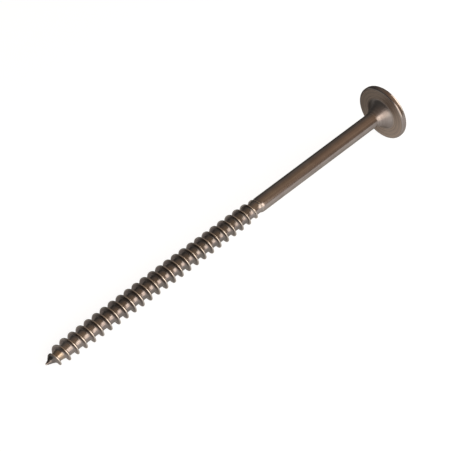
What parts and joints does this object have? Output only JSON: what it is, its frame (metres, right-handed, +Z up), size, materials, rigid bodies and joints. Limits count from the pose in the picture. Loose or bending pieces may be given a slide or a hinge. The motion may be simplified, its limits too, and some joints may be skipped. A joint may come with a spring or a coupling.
{
  "type": "construction screw",
  "caption": "Wood construction screw with a wide flat-bearing disc head, flared hub, plain shank and coarse thread to a gimlet point",
  "frame": {"origin": "centre of the bounding box in X and Y, on the surface the screw lies on", "axes": "the screw lies along X as it comes to rest, tip toward -X and head toward +X; +Z is up and the axis rises about 2.5 degrees toward the head"},
  "size_m": [0.1638, 0.021, 0.021],
  "materials": {
    "screw_steel": "smooth drawn and rolled metal with a warm taupe cast"
  },
  "bodies": {
    "root": {"screw": "screw_steel"}
  },
  "joints": []
}
